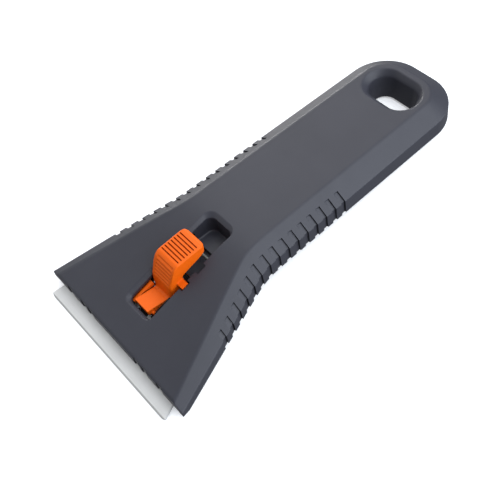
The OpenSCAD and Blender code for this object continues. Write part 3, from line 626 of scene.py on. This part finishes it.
def blade(x, y, z):
    """The blade, with its rear notch, two holes and ground front edge."""
    u, n = to_nose(x, z)
    ay = np.abs(y)
    d = meet(BLADE_FRONT - u, ay - BLADE_HALF, CORNER_R)
    slant = (u - SLANT_U + ay - SLANT_V) * math.sqrt(0.5)
    taper = (ay - SLANT_V + TAPER * (u - SLANT_U)) / math.hypot(1, TAPER)
    d = every(d, slant, taper, u - BLADE_BACK)
    d = cut(d, np.maximum(ay - REAR_NOTCH_HALF, REAR_NOTCH_U - u), REAR_NOTCH_R)
    d = np.maximum(d, BLADE_HOLE_R - np.hypot(u - PEG_U, ay - PEG_V))
    grind = (n - BLADE_BOTTOM - BLADE_LAND - (u - BLADE_FRONT)) * math.sqrt(0.5)
    return meet(d, every(n - BLADE_TOP, BLADE_BOTTOM - n, grind), BLADE_EDGE_R)


# Carriage: the part in view through the slot lies lower, with a rail beside the ramp
HALF_PLAN = [(11.4, 3.75), (11.4, 7.4), (4.2, 7.4), (4.2, 21.5), (17.6, 21.5), (17.6, 10.0), (28.8, 10.0),
             (28.8, -2.0), (27.2, -2.0), (27.2, 4.95), (19.6, 4.95), (19.6, 3.75)]
BASE_TOP = -2.15
BASE_EDGE_R = 0.15
ARM_CLEARING = ((19.6, -1, -6), (29.5, 8.5, 0))
NEAR_CLEARING = ((11.0, -8.5, -6), (19.7, 0, 0))
FAR_STEPS = (((11.0, 3.0, -2.35), (29.5, 6.9, 0)), ((11.0, 4.75, -3.5), (29.5, 6.9, 0)))
CROSSBAR = ((27.2, -1, -5.9), (28.8, 8.6, -4.9))
CROSSBAR_FILLET = 0.1
PEG_R = 2.0
POST_U, POST_V, POST_R = 15.2, 17, 1.9
PEG_N, PEG_HALF = -4.3, 0.74


def base(x, y, z):
    """The carriage that carries the blade and the button."""
    ay = np.abs(y)
    u, n = to_nose(x, z)
    d = meet(outline(u, ay, HALF_PLAN), np.maximum(n - BASE_TOP, BLADE_TOP - n), BASE_EDGE_R)
    d = carve(d, block(u, ay, n, *ARM_CLEARING))
    for box in (NEAR_CLEARING, *FAR_STEPS):
        d = carve(d, block(u, y, n, *box))
    d = join(d, block(u, ay, n, *CROSSBAR), CROSSBAR_FILLET)
    for at_u, at_v, r in ((PEG_U, PEG_V, PEG_R), (POST_U, POST_V, POST_R)):
        d = np.minimum(d, np.maximum(np.hypot(u - at_u, ay - at_v) - r, np.abs(n - PEG_N) - PEG_HALF))
    return d


# Plate under the carriage, a dark sheet that stands in for shade
SHADE_PLATE_ARM = ((11.6, 3.43, -4.04), (28.8, 8.4, -3.84))
SHADE_PLATE_BACK = ((27.2, -1, -4.04), (28.8, 8.4, -3.84))
SHADE_PLATE_OPENING = ((19.9, -1, -5), (27.2, 4.85, -3))


def shade_plate(x, y, z):
    """A thin sheet that stands in for the shade seen through the gaps beside the button."""
    ay = np.abs(y)
    u, n = to_nose(x, z)
    d = np.minimum(block(u, ay, n, *SHADE_PLATE_ARM), block(u, ay, n, *SHADE_PLATE_BACK))
    return carve(d, block(u, ay, n, *SHADE_PLATE_OPENING))


# The pieces, each meshed in a box that holds it, and the bodies that they ride on
SHELL_BOX = ((-0.9, -35.9, -9.0), (138.3, 35.9, 11.3))
BUTTON_BOX = ((11.5, -7.9, -3.2), (36.6, 5.9, 13.1))
BLADE_BOX = ((-6.2, -32.1, -9.5), (14.8, 32.1, -1.4))
BASE_BOX = ((1.5, -22.1, -7.9), (30.6, 22.1, 4.4))
SHADE_PLATE_BOX = ((9.5, -9.1, -5.5), (30.6, 9.1, 3.0))

shell_skin = skin("shell_skin", shell, SHELL_BOX, step=0.2)
button_skin = skin("button_skin", button, BUTTON_BOX, step=0.08)
blade_skin = skin("blade_skin", blade, BLADE_BOX, step=0.2)
base_skin = skin("base_skin", base, BASE_BOX, step=0.2)
shade_plate_skin = skin("shade_plate_skin", shade_plate, SHADE_PLATE_BOX, step=0.2)

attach(shade_plate_skin, "carriage")

for piece, body, slot_name, nodes in (
    (shell_skin, "handle", "body_grey", ("top_shell",)),
    (button_skin, "button", "orange_plastic", ("thumb_button", "lock_lug")),
    (blade_skin, "carriage", "ceramic_white", ("ceramic_blade",)),
    (base_skin, "carriage", "orange_plastic", ("slider_base",)),
):
    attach(piece, body)
    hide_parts(*nodes)


# Tools for materials
BLEND_AT = (0.3, 0.7)
NOISE_ROUGHNESS = 0.55
BUMP_DETAIL = 3.0
OCCLUSION_SAMPLES = 8
MIX_SHARE, MIX_FIRST, MIX_SECOND, MIX_RESULT = 0, 6, 7, 2


def new_material(name):
    """A material, its node tree and its shader."""
    material = bpy.data.materials.new(name)
    material.use_nodes = True
    tree = material.node_tree
    return material, tree, tree.nodes["Principled BSDF"]


def object_coords(tree):
    return tree.nodes.new("ShaderNodeTexCoord").outputs["Object"]


def noise(tree, coords, scale, detail):
    node = tree.nodes.new("ShaderNodeTexNoise")
    node.inputs["Scale"].default_value = scale
    node.inputs["Detail"].default_value = detail
    node.inputs["Roughness"].default_value = NOISE_ROUGHNESS
    tree.links.new(coords, node.inputs["Vector"])
    return node.outputs["Fac"]


def blend(tree, share, dark, light):
    """From dark to light over the middle of share's range."""
    node = tree.nodes.new("ShaderNodeValToRGB")
    for stop, position, colour in zip(node.color_ramp.elements, BLEND_AT, (dark, light)):
        stop.position = position
        stop.color = colour + (1,)
    tree.links.new(share, node.inputs["Fac"])
    return node.outputs["Color"]


def remap(tree, value, lo, hi):
    """value, from lo to hi instead of from 0 to 1."""
    node = tree.nodes.new("ShaderNodeMapRange")
    node.inputs["To Min"].default_value = lo
    node.inputs["To Max"].default_value = hi
    tree.links.new(value, node.inputs["Value"])
    return node.outputs["Result"]


def bumps(tree, coords, layers):
    """Bump from noise layers of (scale, strength, distance)."""
    last = None
    for scale, strength, distance in layers:
        node = tree.nodes.new("ShaderNodeBump")
        node.inputs["Strength"].default_value = strength
        node.inputs["Distance"].default_value = distance
        tree.links.new(noise(tree, coords, scale, BUMP_DETAIL), node.inputs["Height"])
        if last is not None:
            tree.links.new(last, node.inputs["Normal"])
        last = node.outputs["Normal"]
    return last


def painted_crevice_shade(tree, colour, painted_shade, reach, shut, clear):
    """Painted shade: colour in the open, darkened towards the shade colour in gaps narrower than about
    reach.
    """
    occlusion = tree.nodes.new("ShaderNodeAmbientOcclusion")
    occlusion.samples = OCCLUSION_SAMPLES
    occlusion.inputs["Distance"].default_value = reach
    share = tree.nodes.new("ShaderNodeMapRange")
    share.inputs["From Min"].default_value = shut
    share.inputs["From Max"].default_value = clear
    tree.links.new(occlusion.outputs["AO"], share.inputs["Value"])
    mix = tree.nodes.new("ShaderNodeMix")
    mix.data_type = "RGBA"
    mix.inputs[MIX_FIRST].default_value = painted_shade + (1,)
    tree.links.new(share.outputs["Result"], mix.inputs[MIX_SHARE])
    tree.links.new(colour, mix.inputs[MIX_SECOND])
    return mix.outputs[MIX_RESULT]


# Materials. A noise is (scale, detail), and a gap is (reach in metres, shut, clear) of the shade painted
# into gaps.
PLASTIC_CLOUD, PLASTIC_RUB = (55.0, 4.0), (140.0, 5.0)
CERAMIC_CLOUD, CERAMIC_RUB = (120.0, 5.0), (900.0, 4.0)
STEEL_CLOUD, STEEL_RUB = (260.0, 5.0), (700.0, 4.0)
STEEL_STRETCH = (1, 14, 1)
STEEL_GRAIN = [(1800.0, 0.15, 0.00003)]


def surface(name, cloud, rub, dark, light, painted_shade, gap, roughness, grain, specular):
    """Plastic or ceramic: faint cloudiness, painted shade in gaps, rubbed patches and a fine grain."""
    material, tree, shader = new_material(name)
    coords = object_coords(tree)
    colour = blend(tree, noise(tree, coords, *cloud), dark, light)
    tree.links.new(painted_crevice_shade(tree, colour, painted_shade, *gap), shader.inputs["Base Color"])
    tree.links.new(remap(tree, noise(tree, coords, *rub), *roughness), shader.inputs["Roughness"])
    tree.links.new(bumps(tree, coords, grain), shader.inputs["Normal"])
    shader.inputs["Specular IOR Level"].default_value = specular
    return material


def steel(name, dark, light, roughness):
    """Steel with fine lines along the handle."""
    material, tree, shader = new_material(name)
    stretch = tree.nodes.new("ShaderNodeMapping")
    stretch.inputs["Scale"].default_value = STEEL_STRETCH
    tree.links.new(object_coords(tree), stretch.inputs["Vector"])
    lines = stretch.outputs["Vector"]
    tree.links.new(blend(tree, noise(tree, lines, *STEEL_CLOUD), dark, light), shader.inputs["Base Color"])
    shader.inputs["Metallic"].default_value = 1.0
    tree.links.new(remap(tree, noise(tree, lines, *STEEL_RUB), *roughness), shader.inputs["Roughness"])
    tree.links.new(bumps(tree, lines, STEEL_GRAIN), shader.inputs["Normal"])
    return material


# Grey: its colour in gaps is painted shade, in the grip pockets, the slot's corners and other narrow
# hollows.
grey = surface(
    "grey_moulding", PLASTIC_CLOUD, PLASTIC_RUB, dark=(0.0265, 0.0275, 0.037),
    light=(0.0305, 0.0315, 0.042), painted_shade=(0.006, 0.006, 0.007), gap=(0.0009, 0.3, 0.75),
    roughness=(0.42, 0.52), grain=[(5200.0, 0.25, 0.00004), (1500.0, 0.12, 0.00005)], specular=0.32)
# Orange: its colour in gaps is painted shade, in the pad's grooves, between the leg's ribs and in tight
# corners.
orange = surface(
    "orange_moulding", PLASTIC_CLOUD, PLASTIC_RUB, dark=(0.66, 0.098, 0.002),
    light=(0.71, 0.108, 0.003), painted_shade=(0.30, 0.05, 0.003), gap=(0.0009, 0.1, 0.45),
    roughness=(0.4, 0.5), grain=[(4200.0, 0.2, 0.00003), (900.0, 0.08, 0.00004)], specular=0.16)
# Carriage orange: its colour in gaps, over a longer reach, is painted shade that makes the carriage nearly
# black far down in the slot.
shaded_orange = surface(
    "orange_carriage_painted_shade", PLASTIC_CLOUD, PLASTIC_RUB, dark=(0.70, 0.105, 0.003),
    light=(0.75, 0.118, 0.004), painted_shade=(0.05, 0.008, 0.001), gap=(0.002, 0.1, 0.5),
    roughness=(0.4, 0.5), grain=[(4200.0, 0.2, 0.00003)], specular=0.25)
# Ceramic: its colour in gaps is painted shade, where the blade runs under the nose and the slot and where
# its edge nears the floor.
white = surface(
    "ceramic_white", CERAMIC_CLOUD, CERAMIC_RUB, dark=(0.56, 0.56, 0.555),
    light=(0.61, 0.61, 0.605), painted_shade=(0.03, 0.033, 0.03), gap=(0.005, 0.2, 0.45),
    roughness=(0.3, 0.45), grain=[(6500.0, 0.18, 0.00003), (1200.0, 0.1, 0.00003)], specular=0.6)
metal = steel("plain_steel", (0.5, 0.51, 0.53), (0.6, 0.61, 0.63), (0.25, 0.42))
# Near-black steel for the clamp and the plate under the carriage: its colour is painted shade for the dark
# inside of the slot.
shade_steel = steel("painted_shade_steel", (0.02, 0.02, 0.022), (0.035, 0.036, 0.038), (0.5, 0.65))
dull_metal = steel("dull_steel", (0.13, 0.14, 0.135), (0.18, 0.19, 0.185), (0.5, 0.65))

looks = {
    shell_skin: grey, button_skin: orange, blade_skin: white, base_skin: shaded_orange,
    shade_plate_skin: shade_steel,
}
# The clamp's near-black steel is painted shade, and the carriage's orange has painted shade in gaps.
cad_looks = {
    "top_shell": grey, "bottom_cover": grey, "cover_screws": metal, "ceramic_blade": white,
    "slider_base": shaded_orange, "blade_clamp": shade_steel, "clamp_screws": metal,
    "thumb_button": orange, "lock_lug": orange, "button_spring": metal, "stop_pin": dull_metal,
}
for name, material in cad_looks.items():
    looks[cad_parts[name]] = material
for ob, material in looks.items():
    ob.data.materials.clear()
    ob.data.materials.append(material)


# Floor, lit a little by itself so that it stays even and white
FLOOR_HALF = 2
FLOOR_GAP = 0.0001


def lay_floor():
    """The floor, a hair below the object."""
    h = FLOOR_HALF
    me = bpy.data.meshes.new("floor")
    me.from_pydata([(-h, -h, 0), (h, -h, 0), (h, h, 0), (-h, h, 0)], [], [(0, 1, 2, 3)])
    floor = bpy.data.objects.new("floor", me)
    floor.location = (0, 0, -FLOOR_GAP)
    bpy.context.scene.collection.objects.link(floor)
    material, _, shader = new_material("pale_floor")
    shader.inputs["Base Color"].default_value = (0.86, 0.87, 0.89, 1)
    shader.inputs["Roughness"].default_value = 0.6
    shader.inputs["Emission Color"].default_value = (0.97, 0.98, 1.0, 1)
    shader.inputs["Emission Strength"].default_value = 0.35
    me.materials.append(material)
    floor.visible_diffuse = False
    floor.visible_glossy = False
    return floor


floor = lay_floor()


# Lights
COOL = (0.90, 0.95, 1.0)
COOLER = (0.88, 0.94, 1.0)
WARM = (1.0, 0.99, 0.98)


def area(name, at, size, power, colour):
    """A soft panel that faces the object."""
    light = bpy.data.lights.new(name, "AREA")
    light.shape = "RECTANGLE"
    light.size, light.size_y = size
    light.energy = power
    light.color = colour
    ob = bpy.data.objects.new(name, light)
    ob.location = at
    ob.rotation_euler = (-Vector(at)).to_track_quat("-Z", "Y").to_euler()
    ob.visible_camera = False
    bpy.context.scene.collection.objects.link(ob)


area("key", at=(0.24, -0.46, 0.58), size=(0.8, 0.8), power=7.9, colour=COOL)
area("back", at=(0.30, 0.36, 0.58), size=(0.7, 0.7), power=3.0, colour=WARM)
area("front", at=(-0.34, 0.46, 0.32), size=(0.6, 0.6), power=1.0, colour=WARM)
area("low_far", at=(0.34, 0.72, 0.09), size=(0.5, 0.16), power=3.4, colour=WARM)
area("low_near", at=(0.36, -0.56, 0.10), size=(0.8, 0.2), power=3.3, colour=COOLER)

bpy.context.scene.view_settings.view_transform = "Standard"
world = bpy.data.worlds.new("studio")
world.use_nodes = True
world.node_tree.nodes["Background"].inputs["Color"].default_value = (0.95, 0.97, 1.0, 1)
world.node_tree.nodes["Background"].inputs["Strength"].default_value = 0.36
bpy.context.scene.world = world


# Camera, placed to match the body's outline in the photograph, its turns in degrees
SENSOR_WIDTH = 36
FOCAL_LENGTH = 58.636
CAMERA_AT = (-0.078427, -0.138898, 0.216478)
CAMERA_TURNS = (32.8257, 10.6494, -41.1472)

cam = bpy.data.cameras.new("camera")
cam.sensor_width = SENSOR_WIDTH
cam.lens = FOCAL_LENGTH
cam.clip_start = 0.005
camera = bpy.data.objects.new("camera", cam)
camera.location = CAMERA_AT
camera.rotation_euler = [math.radians(turn) for turn in CAMERA_TURNS]
bpy.context.scene.collection.objects.link(camera)
bpy.context.scene.camera = camera
